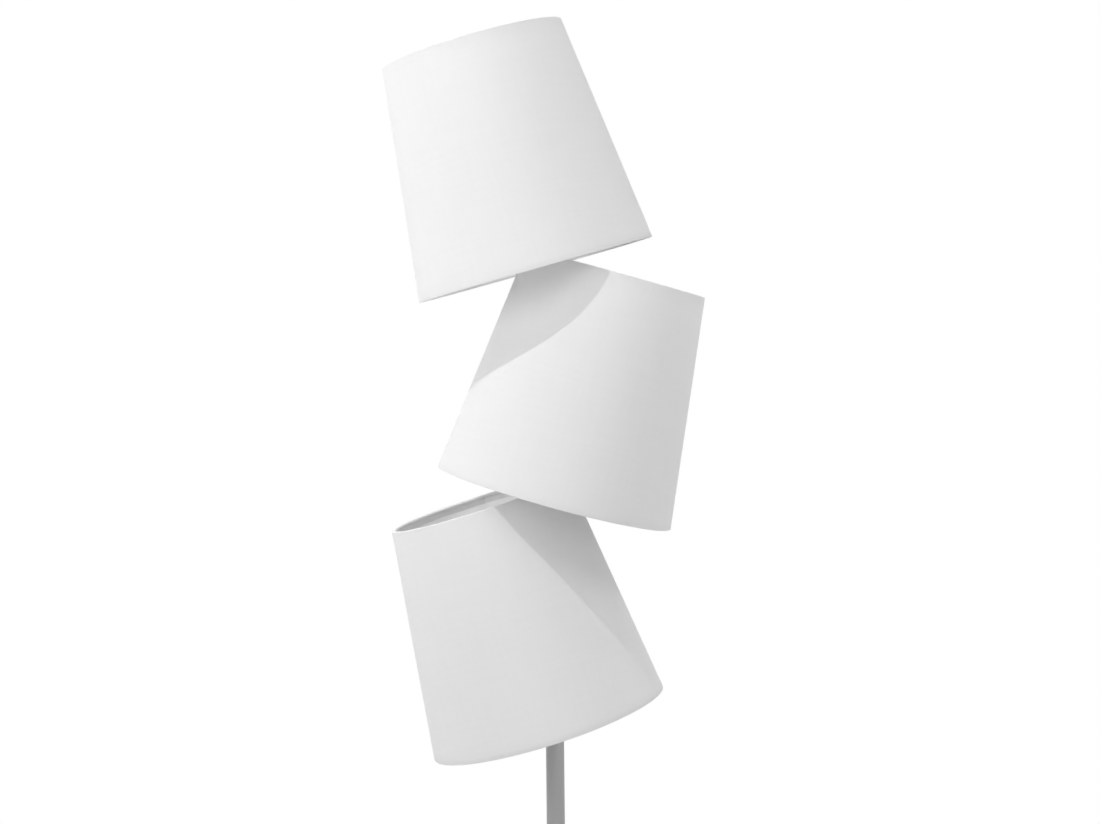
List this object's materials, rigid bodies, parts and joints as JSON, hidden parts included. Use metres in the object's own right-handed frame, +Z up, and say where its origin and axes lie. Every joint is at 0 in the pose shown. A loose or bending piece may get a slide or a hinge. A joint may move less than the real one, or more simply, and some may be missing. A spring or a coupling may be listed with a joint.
{
  "type": "floor lamp",
  "caption": "Free-standing floor lamp: fabric shades on swivel heads lean to alternate sides of a round pole on a weighted disc base.",
  "frame": {"origin": "on the floor, on the pole's axis, at the centre of the base's underside", "axes": "+Z up along the pole; -Y is the front, the side the picture shows; the upper and lower heads lean to -X and the middle head to +X"},
  "size_m": [0.3456, 0.282, 1.6405],
  "materials": {
    "shade_fabric": "white laminated lampshade fabric, matt, fine even weave",
    "shade_wire": "white coated wire, satin",
    "pole_paint": "light silver-grey powder coat, satin",
    "plated_steel": "zinc plated",
    "knuckle_metal": "light silver-grey powder coat on a casting",
    "iron": "rough cast, primed",
    "pad": "dense closed-cell foam, black",
    "grommet": "grey moulded",
    "flex_sheath": "white sheath",
    "holder_plastic": "white moulded, matt",
    "steatite": "unglazed",
    "contact_brass": "pressed",
    "bulb_shell": "rolled thread",
    "bulb_glass": "opal white, satin"
  },
  "bodies": {
    "stand": {"base_pad": "pad", "base_plate": "plated_steel", "base_weight": "iron", "base_cover": "pole_paint", "cable_grommet": "grommet", "base_rod": "plated_steel", "base_washer": "plated_steel", "base_nut": "plated_steel", "foot_collar": "pole_paint", "pole_tube_1": "pole_paint", "pole_tube_2": "pole_paint", "pole_tube_3": "pole_paint", "pole_tube_4": "pole_paint", "pole_inserts": "plated_steel", "pole_nipples": "plated_steel", "pole_cap_nut": "plated_steel", "pole_flex": "flex_sheath"},
    "lower_head": {"lower_knuckle": "knuckle_metal", "lower_stem": "plated_steel", "lower_stem_nut": "plated_steel", "lower_lead": "flex_sheath", "lower_holder_cap": "holder_plastic", "lower_holder_body": "holder_plastic", "lower_holder_core": "steatite", "lower_holder_contacts": "contact_brass", "lower_shade_rings": "holder_plastic"},
    "lower_bulb": {"lower_bulb_cap": "bulb_shell", "lower_bulb_glass": "bulb_glass"},
    "lower_shade": {"lower_shade_cover": "shade_fabric", "lower_shade_top_ring": "shade_wire", "lower_shade_spider": "shade_wire"},
    "middle_head": {"middle_knuckle": "knuckle_metal", "middle_stem": "plated_steel", "middle_stem_nut": "plated_steel", "middle_lead": "flex_sheath", "middle_holder_cap": "holder_plastic", "middle_holder_body": "holder_plastic", "middle_holder_core": "steatite", "middle_holder_contacts": "contact_brass", "middle_shade_rings": "holder_plastic"},
    "middle_bulb": {"middle_bulb_cap": "bulb_shell", "middle_bulb_glass": "bulb_glass"},
    "middle_shade": {"middle_shade_cover": "shade_fabric", "middle_shade_top_ring": "shade_wire", "middle_shade_spider": "shade_wire"},
    "upper_head": {"upper_knuckle": "knuckle_metal", "upper_stem": "plated_steel", "upper_stem_nut": "plated_steel", "upper_lead": "flex_sheath", "upper_holder_cap": "holder_plastic", "upper_holder_body": "holder_plastic", "upper_holder_core": "steatite", "upper_holder_contacts": "contact_brass", "upper_shade_rings": "holder_plastic"},
    "upper_bulb": {"upper_bulb_cap": "bulb_shell", "upper_bulb_glass": "bulb_glass"},
    "upper_shade": {"upper_shade_cover": "shade_fabric", "upper_shade_top_ring": "shade_wire", "upper_shade_spider": "shade_wire"}
  },
  "joints": [
    {"name": "lower_head_swivel", "type": "hinge", "parent": "stand", "child": "lower_head", "pos_m": [0, 0, 0.904], "axis": [0, 0, 1], "range_deg": [-20, 20]},
    {"name": "lower_shade_turn", "type": "hinge", "parent": "lower_head", "child": "lower_shade", "pos_m": [-0.04398, 0, 1.00081], "axis": [-0.289, 0, 0.9573], "range_deg": [-35, 35]},
    {"name": "lower_bulb_screw", "type": "hinge", "parent": "lower_head", "child": "lower_bulb", "pos_m": [-0.04398, 0, 1.00081], "axis": [-0.289, 0, 0.9573], "continuous": true},
    {"name": "middle_head_swivel", "type": "hinge", "parent": "stand", "child": "middle_head", "pos_m": [0, 0, 1.151], "axis": [0, 0, 1], "range_deg": [-20, 20]},
    {"name": "middle_shade_turn", "type": "hinge", "parent": "middle_head", "child": "middle_shade", "pos_m": [0.03745, 0, 1.24837], "axis": [0.2741, 0, 0.9617], "range_deg": [-35, 35]},
    {"name": "middle_bulb_screw", "type": "hinge", "parent": "middle_head", "child": "middle_bulb", "pos_m": [0.03745, 0, 1.24837], "axis": [0.2741, 0, 0.9617], "continuous": true},
    {"name": "upper_head_swivel", "type": "hinge", "parent": "stand", "child": "upper_head", "pos_m": [0, 0, 1.398], "axis": [0, 0, 1], "range_deg": [-20, 20]},
    {"name": "upper_shade_turn", "type": "hinge", "parent": "upper_head", "child": "upper_shade", "pos_m": [-0.04961, 0, 1.49575], "axis": [-0.2637, 0, 0.9646], "continuous": true},
    {"name": "upper_bulb_screw", "type": "hinge", "parent": "upper_head", "child": "upper_bulb", "pos_m": [-0.04961, 0, 1.49575], "axis": [-0.2637, 0, 0.9646], "continuous": true}
  ]
}
